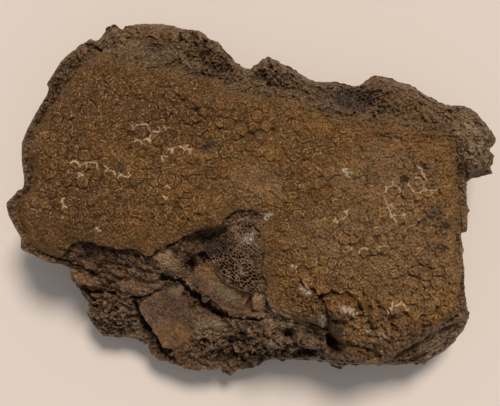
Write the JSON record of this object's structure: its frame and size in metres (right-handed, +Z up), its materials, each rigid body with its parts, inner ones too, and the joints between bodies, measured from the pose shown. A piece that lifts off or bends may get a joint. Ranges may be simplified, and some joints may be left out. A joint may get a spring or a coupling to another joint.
{
  "type": "fossil dinosaur skin",
  "caption": "Slab of brown ironstone with a pavement of fossil dinosaur scales, a broken far slope, and spongy bone, bone plates and bedded rock in steps along its near edge.",
  "frame": {"origin": "middle of the slab's box, on the flat underside that it lies on", "axes": "+X along the slab's length, +Y from the bedded near edge to the broken far slope, +Z up out of the skin"},
  "size_m": [0.2506, 0.1864, 0.0565],
  "materials": {
    "ironstone": "matt dark brown ironstone, ochre on the scales, blackish in the joints and breaks"
  },
  "bodies": {
    "root": {"skin_slab": "ironstone"}
  },
  "joints": []
}
